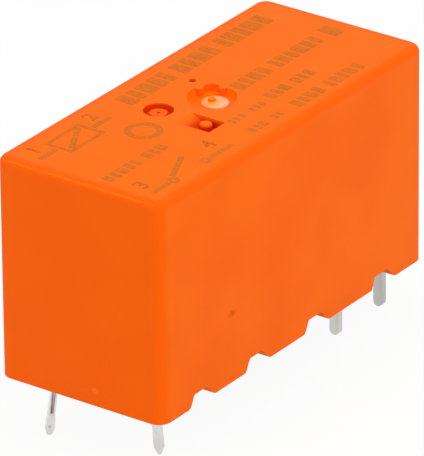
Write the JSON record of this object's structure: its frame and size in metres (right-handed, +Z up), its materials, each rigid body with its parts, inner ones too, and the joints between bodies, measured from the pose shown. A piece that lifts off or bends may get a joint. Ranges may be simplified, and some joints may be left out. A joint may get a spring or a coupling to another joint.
{
  "type": "pcb power relay",
  "caption": "Sealed box-shaped power relay for a circuit board: orange cover with vent notches, solder pins, and a coil whose hinged armature slides a card to close the contact inside.",
  "frame": {"origin": "middle of the cover's footprint, on the board's face under the feet", "axes": "+X along the body from the coil end to the contact end, +Y towards the row with no contact pin, +Z up from the board"},
  "size_m": [0.0291, 0.0126, 0.0193],
  "materials": {
    "cover_plastic": "satin moulded",
    "seal_resin": "glossy cured drop",
    "base_plastic": "moulded",
    "potting_resin": "poured",
    "bobbin_plastic": "moulded",
    "copper_wire": "enamelled",
    "soft_iron": "plated",
    "tinned_pin": "tinned",
    "spring_bronze": "rolled",
    "rivet_brass": "pressed",
    "contact_silver": "pressed",
    "card_plastic": "moulded"
  },
  "bodies": {
    "housing": {"cover": "cover_plastic", "vent_seal": "seal_resin", "base": "base_plastic", "sealing_resin": "potting_resin", "bobbin": "bobbin_plastic", "winding": "copper_wire", "core": "soft_iron", "yoke": "soft_iron", "coil_lead_left": "copper_wire", "coil_lead_right": "copper_wire", "coil_pin_left": "tinned_pin", "coil_pin_right": "tinned_pin", "hinge_spring": "spring_bronze", "spring_terminal": "tinned_pin", "spring_rivets": "rivet_brass", "fixed_terminal": "tinned_pin", "fixed_contact": "contact_silver"},
    "swinging_armature": {"armature": "soft_iron"},
    "sliding_card": {"actuator_card": "card_plastic"},
    "contact_blade": {"contact_spring": "spring_bronze", "moving_contact": "contact_silver"}
  },
  "joints": [
    {"name": "armature_swing", "type": "hinge", "parent": "housing", "child": "swinging_armature", "pos_m": [-0.01165, 0, 0.00355], "axis": [0, 1, 0], "range_deg": [0, 4.83], "stiffness_Nm_per_rad": 0.0005, "springref_deg": -2.86},
    {"name": "card_slide", "type": "slide", "parent": "housing", "child": "sliding_card", "axis": [1, 0, 0], "range_m": [0, 0.000825]},
    {"name": "spring_flex", "type": "hinge", "parent": "housing", "child": "contact_blade", "pos_m": [0.00857, 0, 0.006], "axis": [0, 1, 0], "range_deg": [0, 6.86], "deforming": ["contact_spring"]}
  ],
  "couplings": [
    {"joint": "card_slide", "follows": "armature_swing", "m_per_rad": 0.0097733},
    {"joint": "spring_flex", "follows": "armature_swing", "ratio": 1.4198}
  ]
}
